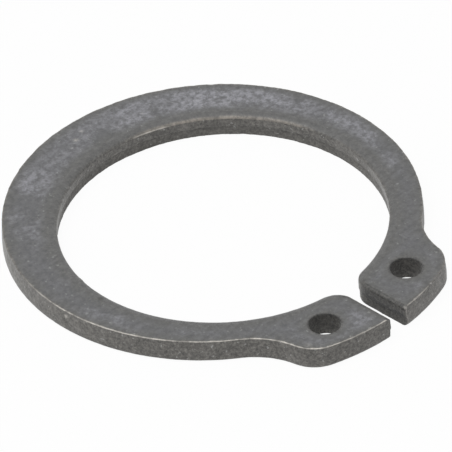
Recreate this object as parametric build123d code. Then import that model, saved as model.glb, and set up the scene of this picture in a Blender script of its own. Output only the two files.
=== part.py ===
"""External retaining ring for an 18 mm shaft, stamped in one piece from spring steel strip.

The ring is a flat open hoop. Its outer edge is a circle set off centre, so the section is widest
opposite the gap and narrows towards it, and the ring bends evenly when it is opened. Each end
carries a lug with a hole for the tip of the pliers.

A press tool cuts it from above in two strokes, and each cut wall keeps the marks of its stroke.
The bore, the gap and the holes are pierced: the metal is drawn down round the upper edge, the
punch leaves a straight land, and below the land the wall breaks away and the opening widens. The
outline is blanked: its drawn edge is the lower one, the land is the lower part of the wall, and
the broken part above it leans inwards to the sharp upper edge.

Units are millimetres. The origin is on the shaft's axis, halfway through the thickness. +Z runs
up through the thickness, and the gap points towards -Y.
"""

from build123d import *
import math
import os

# Strip
thickness = 1.2

# Hoop
bore_diameter = 16.5  # inside, with the ring free
section_opposite_gap = 3.0  # radial width where the hoop is widest
section_at_gap = 1.5  # radial width that the hoop would have at the gap

# Lugs
lug_height = 3.65  # radial, from the bore to the lugs' outer end
lug_span = 10.5  # over the flanks of both lugs
gap_width = 1.2
lug_heel_radius = 2.3  # hollow corner between hoop and lug
lug_shoulder_radius = 1.5  # rounded corner at the lug's outer end
gap_mouth_radius = 1.15  # rounded corner between bore and gap

# Holes for the tips of the pliers
hole_diameter = 1.7
hole_spacing = 5.8  # between centres, square to the gap
hole_height = 1.9  # radial, from the bore to the centre

# Pierced walls
pierced_roll = 0.2  # radius of the drawn upper edge
pierced_land = 0.5  # depth from the upper face to the break
pierced_widening = 0.2  # how much wider each side is at the lower face

# Blanked wall
blanked_roll = 0.16  # radius of the drawn lower edge
blanked_land = 0.55  # height from the lower face to the break
blanked_lean = 0.07  # how far the upper edge stands inside the land
burr_break = 0.03  # rounding that tumbling leaves on the upper edge

bore_radius = bore_diameter / 2
hoop_radius = bore_radius + (section_opposite_gap + section_at_gap) / 2
hoop_offset = (section_opposite_gap - section_at_gap) / 2
lug_radius = bore_radius + lug_height
hole_centre_x = hole_spacing / 2
hole_centre_y = -math.sqrt((bore_radius + hole_height) ** 2 - hole_centre_x**2)
cut_margin = 1.0  # how far a cutting body runs past the metal


def blanked_outline():
    """The outline: the off-centre disc and one pad for both lugs, with the heels between them.

    Disc and pad are joined while both are larger all round by the heels' radius. Shrinking the
    two back together leaves that radius in the corners between them.
    """
    grown_disc = Pos(0, hoop_offset) * Circle(hoop_radius + lug_heel_radius)
    pad = Circle(lug_radius) & Pos(0, -lug_radius / 2) * Rectangle(lug_span, lug_radius)
    pad = fillet(pad.vertices().group_by(Axis.Y)[0], lug_shoulder_radius)
    return offset(grown_disc + offset(pad, lug_heel_radius), -lug_heel_radius)


def blank():
    """The slug inside the outline, with the leaning broken wall and both edges of the stroke."""
    slug = extrude(blanked_outline(), thickness)
    upper_face = slug.faces().sort_by(Axis.Z)[-1]
    break_height = thickness - blanked_land
    slug = chamfer(upper_face.edges(), blanked_lean, break_height, reference=upper_face)
    slug = fillet(slug.faces().sort_by(Axis.Z)[-1].edges(), burr_break)
    return fillet(slug.faces().sort_by(Axis.Z)[0].edges(), blanked_roll)


def opening_outline():
    """The bore and the gap that leads out of it."""
    slot_length = lug_radius + cut_margin
    slot = Pos(0, -slot_length / 2) * Rectangle(gap_width, slot_length)
    opening = Circle(bore_radius) + slot
    mouth = opening.vertices().group_by(Axis.Y)[-1]
    return fillet(mouth, gap_mouth_radius)


def punch(profile):
    """What one punch takes away: straight through the land, then widening to the lower face."""
    break_depth = thickness - pierced_land
    straight = extrude(Pos(0, 0, break_depth) * profile, pierced_land + cut_margin)
    widening = math.degrees(math.atan2(pierced_widening, break_depth))
    broken = extrude(
        Pos(0, 0, break_depth) * profile, break_depth, dir=(0, 0, -1), taper=-widening
    )
    return straight + broken


def pierced_strip():
    """The strip after the first stroke, with the edges drawn down into its openings."""
    half_strip = lug_radius + cut_margin / 2
    strip = extrude(Rectangle(2 * half_strip, 2 * half_strip), thickness)
    strip -= punch(opening_outline())
    for side in (-1, 1):
        hole = Pos(side * hole_centre_x, hole_centre_y) * Circle(hole_diameter / 2)
        strip -= punch(hole)
    upper_edges = strip.faces().sort_by(Axis.Z)[-1].edges()
    drawn_edges = [edge for edge in upper_edges if (edge @ 0.5).length < lug_radius]
    return fillet(drawn_edges, pierced_roll)


def retaining_ring():
    """The blank, with the openings of the pierced strip in it, level with the origin."""
    return Pos(0, 0, -thickness / 2) * (blank() & pierced_strip())


ring = retaining_ring()
print("valid", ring.is_valid, "solids", len(ring.solids()), "volume", round(ring.volume, 2))
print(ring.bounding_box())
os.makedirs("parts", exist_ok=True)
export_step(ring, "parts/retaining_ring.step")
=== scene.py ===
"""An external retaining ring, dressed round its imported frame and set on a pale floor.

The ring is meshed again from its own sizes, with what a press tool leaves on it: drawn edges,
sheared lands, torn walls, a burr line, and the small knocks of a loose part. The shape follows the
frame's solid, which stays behind it for collision. Lengths are in metres.
"""

import math

import bpy
import numpy as np
from mathutils import Matrix, Vector, geometry, kdtree, noise


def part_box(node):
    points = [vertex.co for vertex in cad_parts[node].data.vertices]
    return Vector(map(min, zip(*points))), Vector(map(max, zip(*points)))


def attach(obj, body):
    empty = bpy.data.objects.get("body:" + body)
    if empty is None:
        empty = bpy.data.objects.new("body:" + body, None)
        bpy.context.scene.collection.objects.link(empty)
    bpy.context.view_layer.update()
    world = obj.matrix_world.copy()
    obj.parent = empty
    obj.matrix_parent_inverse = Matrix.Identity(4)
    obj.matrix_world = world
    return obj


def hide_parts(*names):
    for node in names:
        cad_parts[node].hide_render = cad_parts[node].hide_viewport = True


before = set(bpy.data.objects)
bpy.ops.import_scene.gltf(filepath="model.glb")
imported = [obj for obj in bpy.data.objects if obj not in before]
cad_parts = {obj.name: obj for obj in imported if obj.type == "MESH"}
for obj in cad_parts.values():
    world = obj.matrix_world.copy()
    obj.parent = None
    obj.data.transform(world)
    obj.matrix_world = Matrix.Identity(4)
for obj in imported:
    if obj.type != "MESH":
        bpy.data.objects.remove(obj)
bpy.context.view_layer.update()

bl_info = {
    "name": "Retaining Ring",
    "version": (1, 0, 0),
    "blender": (4, 5, 0),
    "location": "View3D > Sidebar > Retaining Ring",
    "description": "Builds a stamped external retaining ring and the stage it lies on",
    "category": "Add Mesh",
}

MM = 0.001
NODE = "retaining_ring"
LOWER, UPPER = (np.array(corner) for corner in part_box(NODE))
THICKNESS = float(UPPER[2] - LOWER[2])


def length(name, description, millimetres):
    """A length property whose default is given in millimetres."""
    return bpy.props.FloatProperty(
        name=name,
        description=description,
        default=millimetres * MM,
        min=0.0,
        precision=5,
        subtype="DISTANCE",
        unit="LENGTH",
    )


def tint(name, description, colour):
    """A colour property in linear red, green and blue."""
    return bpy.props.FloatVectorProperty(
        name=name, description=description, default=colour, size=3, min=0.0, max=1.0, subtype="COLOR"
    )


def angle(name, description, degrees):
    """An angle property whose default is given in degrees."""
    return bpy.props.FloatProperty(
        name=name, description=description, default=math.radians(degrees), subtype="ANGLE", unit="ROTATION"
    )


class RingSizes(bpy.types.PropertyGroup):
    """Sizes of the stamped outline and of the marks that the press leaves on its walls."""

    bore: length("Bore", "Diameter of the free ring's bore", 16.5)
    widest: length("Widest section", "Radial width opposite the gap", 3.0)
    narrowest: length("Narrowest section", "Radial width the hoop would have at the gap", 1.5)
    lug_height: length("Lug height", "From the bore to the lugs' outer end", 3.65)
    lug_span: length("Lug span", "Over the flanks of both lugs", 10.38)
    gap: length("Gap", "Between the lugs", 1.03)
    heel: length("Heel radius", "Hollow corner between hoop and lug", 3.8)
    shoulder: length("Shoulder radius", "Rounded corner at the lug's outer end", 1.85)
    mouth: length("Mouth radius", "Rounded corner between bore and gap", 1.1)
    hole: length("Hole", "Diameter of the holes for the pliers", 1.62)
    hole_spacing: length("Hole spacing", "Between the holes' centres", 5.8)
    hole_height: length("Hole height", "From the bore to the holes' centres", 1.9)
    roll_width: length("Pierced roll width", "How far the drawn upper edge reaches over the face", 0.45)
    roll_depth: length("Pierced roll depth", "How far the drawn upper edge reaches down the wall", 0.22)
    land: length("Pierced land", "From the upper face to the torn part of a pierced wall", 0.62)
    step: length("Pierced step", "Ledge at the top of the torn part", 0.05)
    widening: length("Pierced widening", "How much wider each side is at the lower face", 0.06)
    gap_roll_width: length("Gap roll width", "How far the gap's drawn edges reach over the face", 0.20)
    gap_roll_depth: length("Gap roll depth", "How far the gap's drawn edges reach down the wall", 0.15)
    hole_roll_width: length("Hole roll width", "How far a hole's drawn edge reaches over the face", 0.06)
    hole_roll_depth: length("Hole roll depth", "How far a hole's drawn edge reaches down its wall", 0.06)
    hole_closing: length("Hole closing", "How much narrower each side of a hole is at the lower face", 0.055)
    blank_roll: length("Blanked roll", "Radius of the outline's drawn lower edge", 0.16)
    blank_land: length("Blanked land", "From the lower face to the torn part of the outline", 0.55)
    blank_lean: length("Blanked lean", "How far the upper edge stands inside the land", 0.05)
    burr: length("Burr", "Rounding of the outline's sharp upper edge", 0.03)
    pitch: length("Mesh pitch", "Distance between neighbouring points of the mesh", 0.11)


class Outline:
    """The ring in plan. Each station keeps its place along the contour at every inset."""

    def __init__(self, s):
        self.bore = s.bore / 2
        self.hoop = self.bore + (s.widest + s.narrowest) / 2
        self.hoop_at = np.array((0.0, (s.widest - s.narrowest) / 2))
        self.end = self.bore + s.lug_height
        self.gap = s.gap / 2
        self.heel, self.shoulder, self.mouth = s.heel, s.shoulder, s.mouth
        self.hole = s.hole / 2
        flank = s.lug_span / 2
        self.heel_at = self.below(flank + s.heel, self.hoop + s.heel, self.hoop_at[1])
        self.shoulder_at = self.below(flank - s.shoulder, self.end - s.shoulder)
        self.mouth_at = self.below(self.gap + s.mouth, self.bore + s.mouth)
        self.hole_at = self.below(s.hole_spacing / 2, self.bore + s.hole_height)
        if self.heel_at[1] < self.shoulder_at[1]:
            reach = self.hoop + s.heel
            self.heel_at = self.meeting(self.hoop_at, reach, self.shoulder_at, s.heel + s.shoulder)
        self.flank_turn = min(0.0, self.bearing(self.heel_at - self.shoulder_at))
        self.heel_turn = self.bearing(self.heel_at - self.hoop_at)
        self.shoulder_turn = self.bearing(self.shoulder_at)
        self.mouth_turn = self.bearing(self.mouth_at)
        self.counts = [max(2, round(size / s.pitch)) if size > 0 else 0 for size in self.stretches()]

    @staticmethod
    def below(x, reach, height=0.0):
        """The point at x that lies at this reach below a centre on the Y axis."""
        return np.array((x, height - math.sqrt(reach**2 - x**2)))

    @staticmethod
    def meeting(first, first_reach, second, second_reach):
        """Where circles about two centres cross, on the side of greater x."""
        apart = np.linalg.norm(second - first)
        along = (first_reach**2 - second_reach**2 + apart**2) / (2 * apart)
        aside = math.sqrt(first_reach**2 - along**2)
        way = (second - first) / apart
        turned = np.array((-way[1], way[0]))
        return first + along * way + aside * turned * math.copysign(1, turned[0])

    @staticmethod
    def bearing(vector):
        return math.atan2(vector[1], vector[0])

    @staticmethod
    def arc(centre, radius, start, stop, count):
        turn = np.linspace(start, stop, count, endpoint=False)
        return centre + radius * np.stack((np.cos(turn), np.sin(turn)), axis=1)

    @staticmethod
    def line(start, stop, count):
        return start + (stop - start) * np.arange(count)[:, None] / count

    def stretches(self):
        """The length of each stretch of one side: five blanked ones, then three pierced ones."""
        quarter = math.pi / 2
        return (
            (quarter - self.heel_turn) * self.hoop,
            (self.flank_turn - self.heel_turn) * self.heel,
            self.heel_at[1] - self.shoulder_at[1] if self.flank_turn == 0 else 0.0,
            (self.flank_turn - self.shoulder_turn) * self.shoulder,
            self.shoulder_at[0] * self.end / (self.end - self.shoulder) - self.gap,
            self.end + self.mouth_at[1],
            -self.mouth_turn * self.mouth,
            (quarter - self.mouth_turn) * self.bore,
        )

    def side(self, blanked, pierced):
        """The contour at x > 0, from the hoop's back, round the lug, to the bore's back.

        blanked and pierced are how far the metal has drawn back from the two contours.
        """
        n = self.counts
        origin = np.zeros(2)
        end, gap = self.end - blanked, self.gap + pierced
        shoulder = self.shoulder - blanked
        corner_turn = -math.acos(gap / end)
        corner = end * np.array((math.cos(corner_turn), math.sin(corner_turn)))
        flank_top = self.heel_at - (self.heel + blanked, 0.0)
        flank_foot = self.shoulder_at + (shoulder, 0.0)
        gap_top = self.mouth_at - (self.mouth - pierced, 0.0)
        heel_start, heel_end = math.pi + self.heel_turn, math.pi + self.flank_turn
        mouth_end = math.pi + self.mouth_turn
        return np.concatenate(
            (
                self.arc(self.hoop_at, self.hoop - blanked, math.pi / 2, self.heel_turn, n[0]),
                self.arc(self.heel_at, self.heel + blanked, heel_start, heel_end, n[1]),
                self.line(flank_top, flank_foot, n[2]),
                self.arc(self.shoulder_at, shoulder, self.flank_turn, self.shoulder_turn, n[3]),
                self.arc(origin, end, self.shoulder_turn, corner_turn, n[4]),
                self.line(corner, gap_top, n[5]),
                self.arc(self.mouth_at, self.mouth - pierced, math.pi, mouth_end, n[6]),
                self.arc(origin, self.bore + pierced, self.mouth_turn, math.pi / 2, n[7]),
                np.array([(0.0, self.bore + pierced)]),
            )
        )

    def loop(self, blanked, pierced, gapped):
        """The whole contour, clockwise from the hoop's back. The metal is on its right.

        The gap's sides have drawn back by gapped and the bore by pierced, with an even change
        between the two round the mouth.
        """
        n = self.counts
        ease = (1 - np.cos(np.linspace(0, math.pi, n[6]))) / 2
        in_bore = np.concatenate((np.zeros(sum(n[:6])), ease, np.ones(n[7] + 1)))[:, None]
        right = (1 - in_bore) * self.side(blanked, gapped) + in_bore * self.side(blanked, pierced)
        return np.concatenate((right, right[-2:0:-1] * (-1, 1)))

    def pierced_stations(self):
        """1 for each station of the loop on a pierced wall, and 0 on the blanked one."""
        right = np.ones(sum(self.counts) + 1)
        right[: sum(self.counts[:5])] = 0.0
        return np.concatenate((right, right[-2:0:-1]))

    def hole_loop(self, side, pierced, count):
        """The edge of one lug hole, with the metal outside it."""
        centre = self.hole_at * (side, 1)
        return self.arc(centre, self.hole + pierced, 0.0, 2 * math.pi, count)


def wall_levels(s):
    """Heights from the lower face up, with how far each kind of wall has drawn back there."""
    turn = np.radians((90, 84, 77, 69, 60, 50, 39, 27, 14, 0))
    half = THICKNESS / 2
    drawn = half - s.roll_depth * (1 - np.sin(turn))
    tear = half - s.land
    blank_turn = np.radians((0, 12, 26, 40, 55, 72, 90))
    blank_drawn = -half + s.blank_roll * (1 - np.cos(blank_turn))
    shelf = tear + s.step * np.array((0.0, -0.3, -0.7, -1.2))
    plain = np.arange(-half + s.blank_roll, half - s.roll_depth, s.pitch * 0.8)
    heights = np.unique(np.round(np.concatenate((drawn, shelf, blank_drawn, plain)), 7))
    keep = np.concatenate(((True,), np.diff(heights) > 2e-6))
    heights = heights[keep]
    bore = pierced_inset(s, heights, s.roll_width, s.roll_depth)
    gap = pierced_inset(s, heights, s.gap_roll_width, s.gap_roll_depth)
    return heights, (blanked_inset(s, heights), bore, gap, hole_inset(s, heights))


def blanked_inset(s, z):
    """How far the outline has drawn back: rolled below, leaning above the land, sharp on top."""
    half = THICKNESS / 2
    tear = s.blank_land - half
    lean = s.blank_lean * np.clip((z - tear) / (half - tear), 0, 1)
    over = np.clip((z - half + s.burr) / s.burr, 0, 1)
    under = np.clip((-half + s.blank_roll - z) / s.blank_roll, 0, 1)
    return lean + s.burr * (1 - np.sqrt(1 - over**2)) + s.blank_roll * (1 - np.sqrt(1 - under**2))


def pierced_inset(s, z, roll_width, roll_depth):
    """How far the bore or the gap is wider: drawn over on top, a land, then torn."""
    half = THICKNESS / 2
    tear = half - s.land
    over = np.clip((z - half + roll_depth) / roll_depth, 0, 1)
    ledge = np.clip((tear - z) / s.step, 0, 1)
    below = np.clip((tear - z) / (tear + half), 0, 1)
    torn = s.step * ledge + (s.widening - s.step) * below
    return torn + roll_width * (1 - np.sqrt(1 - over**2))


def hole_inset(s, z):
    """How far a hole is wider on top, or narrower below."""
    over = np.clip((z - THICKNESS / 2 + s.hole_roll_depth) / s.hole_roll_depth, 0, 1)
    below = np.clip((THICKNESS / 2 - z) / THICKNESS, 0, 1)
    return s.hole_roll_width * (1 - np.sqrt(1 - over**2)) - s.hole_closing * below


def inside(points, loops):
    """Which points lie inside these loops, by counting crossings."""
    odd = np.zeros(len(points), dtype=bool)
    x, y = points[:, 0], points[:, 1]
    for loop in loops:
        for (x0, y0), (x1, y1) in zip(loop, np.roll(loop, -1, axis=0)):
            if y0 != y1:
                odd ^= ((y0 > y) != (y1 > y)) & (x < (x1 - x0) * (y - y0) / (y1 - y0) + x0)
    return odd


def lattice(low, high, pitch):
    """Points of an even triangular lattice over a rectangle."""
    rows = np.arange(low[1], high[1], pitch * math.sqrt(3) / 2)
    columns = np.arange(low[0], high[0], pitch)
    x, y = np.meshgrid(columns, rows)
    x[1::2] += pitch / 2
    return np.stack((x.ravel(), y.ravel()), axis=1)


def face_triangles(loops, inner_loops, pitch):
    """Triangles over a flat face, and the points added inside its loops."""
    points = lattice(loops[0].min(axis=0), loops[0].max(axis=0), pitch)
    points = points[inside(points, inner_loops)]
    border = np.concatenate(loops)
    every = np.concatenate((border, points)) / MM
    edges, start = [], 0
    for loop in loops:
        ring = np.arange(len(loop))
        edges += [(start + a, start + b) for a, b in zip(ring, np.roll(ring, -1))]
        start += len(loop)
    vectors = [Vector(point) for point in every]
    nearest = 1e-6
    _, _, made, origins, *_ = geometry.delaunay_2d_cdt(vectors, edges, [], 0, nearest, True)
    triangles = np.array([first for first, *_ in origins])[np.array(made)]
    centres = every[triangles].mean(axis=1) * MM
    return triangles[inside(centres, loops)], points


def ring_mesh(s):
    """The closed ring as vertices and faces, with what each vertex is part of."""
    outline = Outline(s)
    heights, insets = wall_levels(s)
    hole_count = round(math.pi * s.hole / s.pitch)
    top = len(heights) - 1

    def loops_at(level, clear=0.0):
        blanked, bore, gap, hole = (inset[level] + clear for inset in insets)
        holes = [outline.hole_loop(side, hole, hole_count) for side in (1, -1)]
        return [outline.loop(blanked, bore, gap), *holes]

    # The walls, level by level: the contour first, then the two holes
    rows = [loops_at(level) for level in range(top + 1)]
    kinds = [outline.pierced_stations(), np.ones(hole_count), np.ones(hole_count)]
    vertices, faces, kind, level_of, starts = [], [], [], [], []
    count = 0
    for number, loop_kind in enumerate(kinds):
        starts.append(count)
        size = len(loop_kind)
        here = np.arange(size)
        ahead = np.roll(here, -1)
        for level, z in enumerate(heights):
            vertices.append(np.column_stack((rows[level][number], np.full(size, z))))
            kind.append(loop_kind)
            level_of.append(np.full(size, level))
        for level in range(top):
            low, high = count + level * size, count + (level + 1) * size
            quads = np.stack((low + here, high + here, high + ahead, low + ahead), axis=1)
            faces.append(quads if number == 0 else quads[:, ::-1])
        count += size * len(heights)
    # The two flat faces, whose own points keep a little way off the walls
    face_pitch, clear = s.pitch * 1.25, s.pitch * 0.6
    for level, face_down in ((0, True), (top, False)):
        triangles, added = face_triangles(rows[level], loops_at(level, clear), face_pitch)
        sizes = [len(loop) for loop in rows[level]]
        border = [start + level * size + np.arange(size) for start, size in zip(starts, sizes)]
        names = np.concatenate((*border, count + np.arange(len(added))))
        flat = np.concatenate((*rows[level], added))
        faces.append(names[turned_to_face(triangles, flat, face_down)])
        vertices.append(np.column_stack((added, np.full(len(added), heights[level]))))
        kind.append(np.full(len(added), -1.0))
        level_of.append(np.full(len(added), level))
        count += len(added)
    return np.concatenate(vertices), faces, np.concatenate(kind), np.concatenate(level_of)


def turned_to_face(triangles, points, down):
    """The triangles, each turned to face up, or down."""
    a, b, c = (points[triangles[:, k]] for k in range(3))
    ab, ac = b - a, c - a
    upward = ab[:, 0] * ac[:, 1] - ab[:, 1] * ac[:, 0] > 0
    turned = triangles.copy()
    turned[upward == down] = triangles[upward == down][:, ::-1]
    return turned


def vertex_normals(vertices, faces):
    """The way that each vertex faces."""
    total = np.zeros_like(vertices)
    for block in faces:
        corners = [vertices[block[:, k]] for k in (0, 1, 2)]
        normal = np.cross(corners[1] - corners[0], corners[2] - corners[0])
        for k in range(block.shape[1]):
            np.add.at(total, block[:, k], normal)
    return total / np.maximum(np.linalg.norm(total, axis=1), 1e-20)[:, None]


def roughness_field(points, per_millimetre, stretch=(1, 1, 1), octaves=3, seed=0.0):
    """Smooth noise from about -1 to 1 at each point, with this many bumps to the millimetre."""
    scaled = points / MM * per_millimetre * np.array(stretch) + seed
    return np.array([noise.fractal(Vector(point), 0.7, 2.0, octaves) for point in scaled])


# Knocks and pits of a ring that has lain loose in a box: place, radius and depth in millimetres.
# A negative depth is metal that stands up. Last comes how bright it is worn, or below 0 how dark.
KNOCKS = (
    ((-10.5, 0.6, 0.32), 0.15, 0.05, 0.6),  # nick in the outer wall
    ((-10.5, 0.66, 0.18), 0.14, 0.05, 0.5),  # its middle
    ((-10.5, 0.62, -0.02), 0.16, 0.04, -0.5),  # its foot
    ((-8.4, -5.6, 0.1), 0.15, 0.04, 0.3),  # small knock in the wall
    ((-5.7, -8.1, -0.3), 0.16, 0.04, 0.35),  # knock in the wall near the lug
    ((-8.6, 0.0, 0.6), 0.24, 0.05, -0.8),  # tick in the upper face
    ((-0.3, 10.0, 0.6), 0.20, 0.02, 0.5),  # pit in the upper face
    ((0.4, 10.3, 0.6), 0.18, 0.02, 0.4),  # pit beside it
    ((8.1, 6.8, 0.6), 0.16, 0.02, -0.7),  # pit at the back
    ((9.5, 2.1, 0.6), 0.25, 0.015, -0.2),  # pit on the far band
    ((-4.7, -10.3, 0.6), 0.3, 0.012, 0.3),  # knock at the near lug
    ((-8.1, 1.9, 0.5), 0.3, -0.03, 0.2),  # burr standing on the bore's edge
    ((0.50, -11.88, -0.62), 0.30, 0.06, 0.0),  # lug corner rounded underneath
    ((0.60, -11.85, 0.58), 0.16, 0.03, 0.5),  # lug corner worn bright on top
)


def knocked(vertices, place, radius):
    """1 in the middle of a knock, easing to 0 at its radius."""
    away = np.linalg.norm(vertices / MM - place, axis=1) / radius
    return np.clip(1 - away**2, 0, 1)


def way_to_edge(vertices, kind, level_of, height):
    """How far each vertex of the flat faces lies from the ring's upper edges, in millimetres."""
    edges = vertices[(kind >= 0) & (level_of == level_of.max())]
    tree = kdtree.KDTree(len(edges))
    for index, point in enumerate(edges):
        tree.insert(point, index)
    tree.balance()
    way = np.zeros(len(vertices))
    for index in np.nonzero(kind < 0)[0]:
        x, y = vertices[index, :2]
        way[index] = tree.find((x, y, height))[2] / MM
    return way


def zones(s, vertices, kind, level_of):
    """How far each vertex belongs to each kind of surface, from 0 to 1, and its way to an edge."""
    half = THICKNESS / 2
    x, y, z = vertices.T
    pierced, blanked = kind == 1, kind == 0
    hole_x, hole_y = Outline(s).hole_at
    from_hole = np.hypot(np.abs(x) - hole_x, y - hole_y)
    in_hole = pierced & (from_hole < s.hole / 2 + s.hole_roll_width * 1.5)
    below_land = np.clip((half - s.land - z) / (s.step * 1.2), 0, 1) * pierced
    below_hole_roll = np.clip((half - s.hole_roll_depth - z) / s.step, 0, 1)
    outside_bore = np.hypot(x, y) > s.bore / 2 + s.widening + s.roll_width + s.step
    beside_pierced = (np.roll(kind, -1) == 1) | (np.roll(kind, 1) == 1)
    hole_share = 0.7  # how torn the holes are, and how much oil and painted shade they take, beside the gap
    return {
        "scar": sum(shine * knocked(vertices, place, radius) for place, radius, _, shine in KNOCKS),
        "corner": (blanked & beside_pierced & (y < 0) & (x > 0)).astype(float),
        "blanked": blanked.astype(float),
        "wall": (kind >= 0).astype(float),
        "torn": np.where(in_hole, hole_share * below_hole_roll, below_land),
        "blank_torn": np.clip((z + half - s.blank_land) / (s.step * 1.5), 0, 1) * blanked,
        "roll": np.clip((z - half + s.roll_depth) / s.roll_depth, 0, 1) * pierced,
        "burr": ((z > half - s.burr * 1.3) & (z < half - 5e-7) & blanked).astype(float),
        # the gap's walls and, at a share, the holes: darkened for oil and for painted shade in these
        # recesses
        "oil_and_painted_shade": np.where(in_hole, hole_share, 1.0) * (pierced & outside_bore),
        "rim": way_to_edge(vertices, kind, level_of, half),
    }


def weathered(vertices, faces, zone):
    """The vertices with torn walls roughened, the burr line uneven and the knocks pressed in."""
    lift = np.zeros(len(vertices))  # in millimetres
    wall = zone["wall"] > 0.5
    points = vertices[wall]
    streaks = roughness_field(points, 2.2, stretch=(1, 1, 0.35), seed=3.1)
    pebbles = roughness_field(points, 5.5, seed=11.7)
    ripples = roughness_field(points, 1.3, seed=5.3)
    torn = np.maximum(zone["torn"], zone["blank_torn"] * 0.5)[wall]
    lift[wall] = torn * (0.022 * streaks + 0.013 * pebbles) + (1 - torn) * 0.004 * (streaks + pebbles)
    lift[wall] += zone["burr"][wall] * 0.008 * ripples
    lift[~wall] = 0.002 * roughness_field(vertices[~wall], 1.2, octaves=2, seed=7.9) - 0.002
    for place, radius, depth, _ in KNOCKS:
        lift -= depth * knocked(vertices, place, radius) ** 2
    moved = vertices + vertex_normals(vertices, faces) * (lift * MM)[:, None]
    return np.clip(moved, LOWER, UPPER)


def new_mesh(name, vertices, faces, zone):
    """A mesh shaded smooth but for its sharp edges, with its zones kept for the material."""
    mesh = bpy.data.meshes.new(name)
    mesh.from_pydata(vertices.tolist(), [], [f for block in faces for f in block.tolist()])
    for label, values in zone.items():
        layer = mesh.attributes.new(label, "FLOAT", "POINT")
        layer.data.foreach_set("value", values.astype(np.float32))
    mesh.update()
    mesh.shade_smooth()
    mesh.set_sharp_from_angle(angle=math.radians(38))
    return mesh


class Nodes:
    """Short ways to add and join the nodes of one material or world."""

    def __init__(self, owner):
        owner.use_nodes = True
        self.tree = owner.node_tree

    def add(self, kind, *inputs, **settings):
        """Adds a node, sets it up, and feeds its inputs in order: a socket, a value, or None."""
        node = self.tree.nodes.new("ShaderNode" + kind)
        for key, value in settings.items():
            setattr(node, key, value)
        for socket, value in zip(node.inputs, inputs):
            self.feed(socket, value)
        return node

    def feed(self, socket, value):
        """Joins a node to an input, or sets the input to a plain value."""
        if isinstance(value, bpy.types.NodeSocket):
            self.tree.links.new(value, socket)
        elif value is not None:
            socket.default_value = value

    def measured(self, name):
        """One of the mesh's own zones."""
        return self.add("Attribute", attribute_name=name).outputs["Fac"]

    def sums(self, operation, a, b=None, clamp=False):
        return self.add("Math", a, b, operation=operation, use_clamp=clamp).outputs[0]

    def product(self, first, *others):
        for other in others:
            first = self.sums("MULTIPLY", first, other)
        return first

    def span(self, value, low, high, to_low=0.0, to_high=1.0):
        """value spread from low..high to to_low..to_high, eased at both ends."""
        node = self.add("MapRange", value, low, high, to_low, to_high, interpolation_type="SMOOTHSTEP")
        return node.outputs["Result"]

    def toward(self, turn, middle, low, high, least, most):
        """least to most by how near a bearing round the ring is to its middle one."""
        near = self.sums("COSINE", self.sums("SUBTRACT", turn, middle))
        return self.span(near, low, high, least, most)

    def away_from(self, value, middle):
        return self.sums("ABSOLUTE", self.sums("SUBTRACT", value, middle))

    def noise(self, place, scale, detail, rough, distortion=0.0):
        node = self.add("TexNoise", place)
        node.inputs["Scale"].default_value = scale
        node.inputs["Detail"].default_value = detail
        node.inputs["Roughness"].default_value = rough
        node.inputs["Distortion"].default_value = distortion
        return node.outputs["Fac"]

    def grey(self, value):
        return self.add("CombineColor", value, value, value).outputs[0]

    def blend(self, share, first, second, how="MIX"):
        """The first colour, with this share of the second mixed into it."""
        node = self.add("Mix", data_type="RGBA", blend_type=how)
        colour_a, colour_b = node.inputs[6:8]
        self.feed(node.inputs["Factor"], share)
        self.feed(colour_a, first)
        self.feed(colour_b, second)
        return node.outputs[2]


def rgba(colour, strength=1.0):
    return (*(channel * strength for channel in colour), 1.0)


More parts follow.
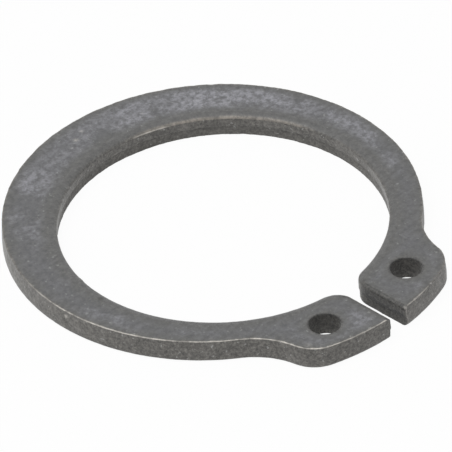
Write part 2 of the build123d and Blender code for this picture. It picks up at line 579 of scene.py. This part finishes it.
class Phosphate(Nodes):
    """Dark phosphate over steel. All places and sizes in it are in millimetres."""

    def __init__(self, material, finish):
        super().__init__(material)
        self.finish = finish
        self.top = THICKNESS / 2 / MM
        self.at = self.add("TexCoord").outputs["Object"]
        self.at = self.moved(Scale=(1 / MM, 1 / MM, 1 / MM))
        shifted = self.moved(Location=finish.cloud_shift)
        along_strip = self.moved(Rotation=(0, 0, finish.strip_turn), Scale=(0.35, 4.5, 1.0))
        self.clouds = self.noise(shifted, 0.55, 5.0, 0.62, 0.6)
        self.drifts = self.noise(shifted, 0.17, 2.0, 0.5)
        self.fine = self.noise(self.at, 3.2, 6.0, 0.7)
        self.grain = self.noise(self.at, 7.5, 4.0, 0.75)
        self.streaks = self.noise(along_strip, 1.0, 4.0, 0.6)
        self.specks = self.span(self.noise(self.at, 4.5, 2.0, 0.5), 0.66, 0.73)
        across, self.along, self.height = self.add("SeparateXYZ", self.at).outputs
        self.turn = self.sums("ARCTAN2", self.along, across)
        self.wall = self.measured("wall")
        self.rim = self.measured("rim")
        self.roll = self.measured("roll")
        self.torn = self.measured("torn")
        self.oil_and_painted_shade = self.measured("oil_and_painted_shade")

    def moved(self, **how):
        """The place on the ring, moved, turned or stretched."""
        node = self.add("Mapping", self.at)
        for key, value in how.items():
            node.inputs[key].default_value = value
        return node.outputs[0]

    def rubbed(self):
        """Clouds where the faces have been rubbed, which keep off the edges."""
        bias = self.toward(self.turn, self.finish.face_turn, -0.5, 0.95, -0.06, 0.08)
        bias = self.sums("ADD", bias, self.span(self.along, -10.0, -8.5, 0.06, 0.0))
        cloudy = self.span(self.sums("ADD", self.clouds, bias), 0.42, 0.62)
        drifting = self.span(self.drifts, 0.34, 0.56, 0.35, 1.0)
        off_edges = self.span(self.rim, 0.10, 0.75, 0.05, 1.0)
        broken_up = self.span(self.fine, 0.36, 0.60, 0.30, 1.0)
        on_side = self.toward(self.turn, self.finish.face_turn, -0.45, 0.75, 0.55, 1.0)
        return self.product(cloudy, drifting, off_edges, broken_up, on_side)

    def face_colour(self, rubbed):
        finish = self.finish
        colour = self.blend(self.span(self.rim, 0.0, 0.9), rgba(finish.face_edge), rgba(finish.face))
        colour = self.blend(rubbed, colour, rgba(finish.face_rubbed))
        streaked = self.span(self.streaks, 0.40, 0.68, 0.0, 0.35)
        colour = self.blend(streaked, colour, rgba(finish.face_streak))
        return self.blend(self.product(self.specks, 0.35), colour, rgba(finish.speck))

    def wall_colour(self):
        """Browner than the faces, with a hard grain, darkened with oil and painted shade in the gap and the
        holes, and with a painted shadow line below the gap's land.
        """
        finish = self.finish
        colour = self.blend(self.span(self.grain, 0.34, 0.66), rgba(finish.wall_dark), rgba(finish.wall))
        colour = self.blend(self.span(self.clouds, 0.5, 0.7, 0.0, 0.4), colour, rgba(finish.wall_pale))
        colour = self.blend(self.product(self.specks, 0.8), colour, rgba(finish.speck))
        colour = self.blend(self.product(self.torn, 0.30), colour, rgba(finish.torn))
        # the rolled-over edge darkened: painted shade on the drawn edge
        colour = self.blend(self.span(self.roll, 0.0, 0.85, 0.0, 0.85), colour, rgba(finish.drawn))
        # the gap's walls and the holes darkened: oil, and painted shade in these recesses
        coarse = self.grey(self.span(self.grain, 0.36, 0.64, 0.4, 1.7))
        oil_and_shade_colour = self.blend(1.0, rgba(finish.oil_and_painted_shade), coarse, how="MULTIPLY")
        colour = self.blend(self.product(self.oil_and_painted_shade, 0.85), colour, oil_and_shade_colour)
        # painted shadow below the ledge of the gap's walls
        return self.blend(self.seam(), colour, rgba(finish.oil_and_painted_shade, 0.3))

    def seam(self):
        """A painted shadow: the dark wavy line below the ledge at the land of the gap's walls."""
        waves = self.product(self.sums("SUBTRACT", self.fine, 0.5), 0.5)
        wavy = self.sums("ADD", self.height, waves)
        off = self.away_from(wavy, self.top - self.finish.ledge_shadow_depth / MM)
        return self.product(self.span(off, 0.03, 0.12, 0.95, 0.0), self.span(self.oil_and_painted_shade, 0.75, 0.95))

    def edge_band(self, start, full, fade, end):
        """A band along the drawn edge of the pierced walls, by how far the edge is drawn over."""
        inner, outer = self.span(self.roll, start, full), self.span(self.roll, fade, end, 1.0, 0.0)
        return self.product(inner, outer, self.span(self.wall, 0.85, 1.0))

    def bore_rub_and_highlight(self):
        """Where the bore's drawn edge is paler, on one side of the hoop's back: partly rubbed through,
        partly a painted highlight where the edge faces the camera.
        """
        off = self.away_from(self.turn, self.finish.rub_highlight_turn)
        reach = self.span(off, self.finish.rub_highlight_reach * 0.55, self.finish.rub_highlight_reach, 1.0, 0.0)
        worn = self.product(reach, self.span(self.fine, 0.34, 0.6, 0.35, 1.0))
        return self.product(worn, self.edge_band(0.0, 0.2, 0.45, 0.8))

    def scrape_and_highlight(self):
        """One short bright mark on the bore's drawn edge: partly a scrape, partly a painted highlight."""
        off = self.away_from(self.turn, self.finish.scrape_highlight_turn)
        worn = self.product(self.span(off, 0.04, 0.16, 0.85, 0.0), self.edge_band(0.0, 0.12, 0.2, 0.45))
        return self.product(worn, self.span(self.fine, 0.3, 0.5, 0.5, 1.0))

    def burr_highlight_line(self):
        """The thin bright line along the outline's sharp upper edge, partly bare steel and partly a painted
        highlight, brightest on the side toward the camera, and likewise up one lug's corner.
        """
        edge = self.span(self.height, self.top - 0.045, self.top - 0.015)
        edge = self.product(edge, self.span(self.measured("blanked"), 0.55, 1.0))
        broken = self.span(self.noise(self.at, 0.8, 5.0, 0.7), 0.36, 0.60, 0.35, 1.0)
        on_side = self.toward(self.turn, self.finish.burr_highlight_turn, 0.40, 0.72, 0.10, 1.0)
        corner = self.span(self.measured("corner"), 0.5, 1.0)
        corner = self.product(corner, self.span(self.height, -self.top, self.top, 0.1, 0.7))
        return self.sums("MAXIMUM", self.product(edge, broken, on_side), self.product(corner, broken))

    def scarred(self, colour):
        """The colour with bare steel in the bright knocks and darker in the dark ones."""
        scar = self.measured("scar")
        bright = self.product(self.span(scar, 0.0, 1.0), self.span(self.fine, 0.35, 0.55, 0.45, 1.0))
        colour = self.blend(bright, colour, rgba(self.finish.burr))
        dark = self.span(self.product(scar, -1.0), 0.0, 1.0)
        return self.blend(dark, colour, rgba(self.finish.oil_and_painted_shade))

    def mottled(self, colour):
        """The colour with the light and dark of the phosphate's crystals."""
        crystals = self.span(self.fine, 0.30, 0.70, 0.78, 1.20)
        crystals = self.product(crystals, self.span(self.grain, 0.3, 0.7, 0.90, 1.10))
        return self.blend(1.0, colour, self.grey(crystals), how="MULTIPLY")

    def dullness(self, rubbed):
        """Less where the ring is rubbed and on its walls, and more where they are torn."""
        handled = self.sums("ADD", rubbed, self.product(self.fine, 0.5))
        dull = self.span(handled, 0.1, 1.0, 0.60, 0.42)
        dull = self.sums("SUBTRACT", dull, self.product(self.wall, 0.12))
        return self.sums("ADD", dull, self.product(self.torn, 0.2), clamp=True)

    def relief(self):
        """Fine bumps, higher on the walls than on the faces."""
        coarse = self.product(self.grain, self.span(self.wall, 0.0, 1.0, 0.25, 1.0))
        bump = self.add("Bump")
        bump.inputs["Strength"].default_value = 0.55
        bump.inputs["Distance"].default_value = 0.03 * MM
        self.feed(bump.inputs["Height"], self.sums("ADD", coarse, self.product(self.fine, 0.6)))
        return bump.outputs[0]


def steel_material(finish):
    """Dark phosphate over spring steel, rubbed paler on the faces, with painted shade on the drawn edges and
    in the gap and the holes, and painted highlights over part wear on the burr line and the bore's drawn
    edge.
    """
    material = bpy.data.materials.new("phosphated_steel")
    nodes = Phosphate(material, finish)
    rubbed = nodes.rubbed()
    colour = nodes.blend(nodes.wall, nodes.face_colour(rubbed), nodes.wall_colour())
    # the bore's drawn edge paler: partly wear, partly a painted highlight
    colour = nodes.blend(nodes.bore_rub_and_highlight(), colour, rgba(finish.bore_rub_highlight_colour))
    # bright mark on the bore's edge: partly a scrape, partly a painted highlight
    colour = nodes.blend(nodes.scrape_and_highlight(), colour, rgba(finish.burr))
    # burr line: partly bare steel, partly a painted highlight
    colour = nodes.blend(nodes.burr_highlight_line(), colour, rgba(finish.burr))
    shader = nodes.tree.nodes["Principled BSDF"]
    nodes.feed(shader.inputs["Base Color"], nodes.mottled(nodes.scarred(colour)))
    nodes.feed(shader.inputs["Roughness"], nodes.dullness(rubbed))
    nodes.feed(shader.inputs["Normal"], nodes.relief())
    shader.inputs["Specular IOR Level"].default_value = 0.5
    shader.inputs["Sheen Weight"].default_value = 0.25
    shader.inputs["Sheen Roughness"].default_value = 0.35
    return material


class SteelFinish(bpy.types.PropertyGroup):
    """Colours of the phosphate and of the places where it is worn."""

    face: tint("Face", "Phosphate on the flat faces", (0.118, 0.119, 0.122))
    face_edge: tint("Face edge", "Phosphate beside the faces' edges", (0.112, 0.112, 0.108))
    face_rubbed: tint("Rubbed face", "Where the faces have been rubbed", (0.285, 0.285, 0.310))
    face_streak: tint("Streak", "Along the strip's rolling direction", (0.150, 0.150, 0.160))
    wall: tint("Wall", "Phosphate on the cut walls", (0.178, 0.170, 0.156))
    wall_dark: tint("Wall grain", "Dark grain of the cut walls", (0.078, 0.075, 0.069))
    wall_pale: tint("Pale wall", "Dry phosphate on the cut walls", (0.205, 0.196, 0.184))
    torn: tint("Torn wall", "The rough part of the pierced walls", (0.105, 0.102, 0.095))
    # Drawn edge: darker than the faces, painted shade on the rolled-over edge
    drawn: tint("Drawn edge", "The rolled-over edge of bore, gap and holes", (0.105, 0.105, 0.104))
    # Rubbed drawn edge: partly wear, partly a painted highlight
    bore_rub_highlight_colour: tint("Rubbed drawn edge", "Where that edge is worn", (0.270, 0.245, 0.215))
    # Tucked walls: oil and dirt, with painted shade, in the gap and the holes
    oil_and_painted_shade: tint("Tucked walls", "Oil and dirt in the gap and the holes", (0.052, 0.050, 0.046))
    speck: tint("Speck", "Pale specks", (0.36, 0.36, 0.35))
    # bare steel; on the burr line and the bore's bright marks it also serves as painted highlight
    burr: tint("Burr line", "Bare steel along the sharp edge", (0.60, 0.57, 0.52))
    cloud_shift: bpy.props.FloatVectorProperty(
        name="Cloud shift",
        description="Moves the rubbed clouds over the faces, in millimetres",
        default=(34.2, 26.3, 24.5),
        size=3,
    )
    strip_turn: angle("Strip direction", "Turn of the rolling marks", 43.7)
    face_turn: angle("Rubbed side", "Bearing of the most rubbed part of the faces", 50.0)
    # Bright side: where the painted highlight on the burr line is strongest
    burr_highlight_turn: angle("Bright side", "Bearing of the most worn part of the burr line", -138.0)
    # Seam depth: where the painted shadow line below the gap's ledge lies
    ledge_shadow_depth: length("Seam depth", "From the upper face to the dark line below a pierced land", 0.58)
    # Scrape direction: middle of the bright mark, partly scrape and partly painted highlight
    scrape_highlight_turn: angle("Scrape direction", "Middle of the bright scrape on the bore's edge", 70.0)
    # middle and half reach of the pale stretch of the bore's edge, partly wear and partly painted highlight
    rub_highlight_turn: angle("Rub direction", "Middle of the worn stretch of the bore's edge", 45.0)
    rub_highlight_reach: angle("Rub reach", "Half of that stretch", 38.0)


class RETAININGRING_OT_build_ring(bpy.types.Operator):
    """Mesh the stamped ring in place of its plain solid"""

    bl_idname = "retaining_ring.build_ring"
    bl_label = "Build Ring"

    def execute(self, context):
        sizes = context.scene.ring_sizes
        vertices, faces, kind, level_of = ring_mesh(sizes)
        zone = zones(sizes, vertices, kind, level_of)
        vertices = weathered(vertices, faces, zone)
        mesh = new_mesh("stamped_ring", vertices, faces, zone)
        mesh.materials.append(steel_material(context.scene.ring_finish))
        ring = bpy.data.objects.new("stamped_ring", mesh)
        context.collection.objects.link(ring)
        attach(ring, "root")
        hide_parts(NODE)
        return {"FINISHED"}


class StageSettings(bpy.types.PropertyGroup):
    """Where the camera stands, and how bright the floor and lamps are."""

    azimuth: angle("Azimuth", "Where the camera stands round the ring", -43.72)
    elevation: angle("Elevation", "How far the camera looks down", 37.75)
    roll: angle("Roll", "How far the camera is tipped", -3.58)
    distance: length("Camera distance", "From the aim to the camera", 412.5)
    width: length("Width seen", "What the frame spans at the ring", 22.439)
    across: length("Aim across", "Aim to the right of the bore's axis", 0.094)
    upward: length("Aim up", "Aim above the bore's axis", 0.465)
    sky: bpy.props.FloatProperty(name="Sky", description="Light from all round", default=0.42, min=0.0)
    lamp: bpy.props.FloatProperty(
        name="Lamp", description="Power of the lamp overhead", default=0.95, min=0.0, unit="POWER"
    )
    lamp_size: length("Lamp size", "Side of the square lamp", 300)
    lamp_place: bpy.props.FloatVectorProperty(
        name="Lamp place",
        description="Where the lamp hangs",
        default=(-0.12, 0.03, 0.38),
        size=3,
        subtype="TRANSLATION",
        unit="LENGTH",
    )
    floor: tint("Floor", "Colour of the pale floor", (0.90, 0.90, 0.90))
    floor_clear: bpy.props.FloatProperty(
        name="Floor clear",
        description="Share of the floor seen as plain white",
        default=0.95,
        min=0.0,
        max=1.0,
        subtype="FACTOR",
    )


def build_camera(s):
    """A camera at its bearings round the ring, aimed beside the bore's axis."""
    az, el = s.azimuth, s.elevation
    back = Vector((math.sin(az) * math.cos(el), -math.cos(az) * math.cos(el), math.sin(el)))
    level = Vector((math.cos(az), math.sin(az), 0))
    rise = back.cross(level)
    right = math.cos(s.roll) * level + math.sin(s.roll) * rise
    up = math.cos(s.roll) * rise - math.sin(s.roll) * level
    data = bpy.data.cameras.new("camera")
    data.sensor_width = 36
    data.lens = data.sensor_width * s.distance / s.width
    data.clip_start = 0.01
    camera = bpy.data.objects.new("camera", data)
    bpy.context.collection.objects.link(camera)
    stand = right * s.across + up * s.upward + back * s.distance + Vector((0, 0, float(LOWER[2])))
    turned = Matrix((right, up, back)).transposed().to_4x4()
    turned.translation = stand
    camera.matrix_world = turned
    bpy.context.scene.camera = camera


def seen_directly(nodes):
    """1 for rays from the camera, from glossy surfaces and through clear ones."""
    ray = nodes.add("LightPath").outputs
    seen = nodes.sums("ADD", ray["Is Camera Ray"], ray["Is Glossy Ray"], clamp=True)
    return nodes.sums("ADD", seen, ray["Is Transmission Ray"], clamp=True)


def build_floor(s):
    """A wide pale floor under the ring that shows as white and keeps the ring's shadow."""
    reach = 1.0
    z = float(LOWER[2]) - 0.01 * MM  # so that floor and ring never share a plane
    mesh = bpy.data.meshes.new("floor")
    corners = [(-reach, -reach, z), (reach, -reach, z), (reach, reach, z), (-reach, reach, z)]
    mesh.from_pydata(corners, [], [(0, 1, 2, 3)])
    floor = bpy.data.objects.new("floor", mesh)
    bpy.context.collection.objects.link(floor)
    material = bpy.data.materials.new("floor")
    nodes = Nodes(material)
    shader = nodes.tree.nodes["Principled BSDF"]
    shader.inputs["Base Color"].default_value = rgba(s.floor)
    shader.inputs["Roughness"].default_value = 0.9
    glow = nodes.add("Emission", (1, 1, 1, 1), 1.0)
    share = nodes.sums("MULTIPLY", seen_directly(nodes), s.floor_clear)
    mixed = nodes.add("MixShader", share, shader.outputs[0], glow.outputs[0])
    from_below = nodes.add("NewGeometry").outputs["Backfacing"]
    clear = nodes.add("BsdfTransparent")
    one_sided = nodes.add("MixShader", from_below, mixed.outputs[0], clear.outputs[0])
    nodes.tree.links.new(one_sided.outputs[0], nodes.tree.nodes["Material Output"].inputs[0])
    mesh.materials.append(material)


def build_light(s):
    """An even white sky, seen as plain white, and one soft square lamp overhead."""
    world = bpy.data.worlds.new("world")
    bpy.context.scene.world = world
    nodes = Nodes(world)
    background = nodes.tree.nodes["Background"]
    background.inputs["Color"].default_value = (1, 1, 1, 1)
    strength = nodes.span(seen_directly(nodes), 0.0, 1.0, s.sky, 1.0)
    nodes.feed(background.inputs["Strength"], strength)
    data = bpy.data.lights.new("overhead", "AREA")
    data.shape = "SQUARE"
    data.size = s.lamp_size
    data.energy = s.lamp
    lamp = bpy.data.objects.new("overhead", data)
    lamp.location = s.lamp_place
    lamp.rotation_euler = (-lamp.location).to_track_quat("-Z", "Y").to_euler()
    bpy.context.collection.objects.link(lamp)


class RETAININGRING_OT_build_stage(bpy.types.Operator):
    """Lay the floor and set the lamp, the sky and the camera"""

    bl_idname = "retaining_ring.build_stage"
    bl_label = "Build Stage"

    def execute(self, context):
        settings = context.scene.ring_stage
        build_camera(settings)
        build_floor(settings)
        build_light(settings)
        context.scene.view_settings.view_transform = "Standard"
        return {"FINISHED"}


class RETAININGRING_PT_panel(bpy.types.Panel):
    """Buttons and sizes of the ring"""

    bl_idname = "RETAININGRING_PT_panel"
    bl_label = "Retaining Ring"
    bl_space_type = "VIEW_3D"
    bl_region_type = "UI"
    bl_category = "Retaining Ring"

    def draw(self, context):
        scene = context.scene
        pieces = {
            "build_ring": (scene.ring_sizes, scene.ring_finish),
            "build_stage": (scene.ring_stage,),
        }
        for operator, groups in pieces.items():
            box = self.layout.box()
            box.operator(f"retaining_ring.{operator}")
            for group in groups:
                for key in group.__annotations__:
                    box.prop(group, key)


CLASSES = (
    RingSizes,
    SteelFinish,
    StageSettings,
    RETAININGRING_OT_build_ring,
    RETAININGRING_OT_build_stage,
    RETAININGRING_PT_panel,
)


def register():
    for item in CLASSES:
        bpy.utils.register_class(item)
    bpy.types.Scene.ring_sizes = bpy.props.PointerProperty(type=RingSizes)
    bpy.types.Scene.ring_finish = bpy.props.PointerProperty(type=SteelFinish)
    bpy.types.Scene.ring_stage = bpy.props.PointerProperty(type=StageSettings)


def unregister():
    del bpy.types.Scene.ring_sizes
    del bpy.types.Scene.ring_finish
    del bpy.types.Scene.ring_stage
    for item in reversed(CLASSES):
        bpy.utils.unregister_class(item)


def plain(bounds):
    """A box's two corners as plain lists."""
    return [[float(value) for value in corner] for corner in bounds]


def main():
    register()
    bpy.ops.retaining_ring.build_ring()
    bpy.ops.retaining_ring.build_stage()


if __name__ == "__main__":
    main()
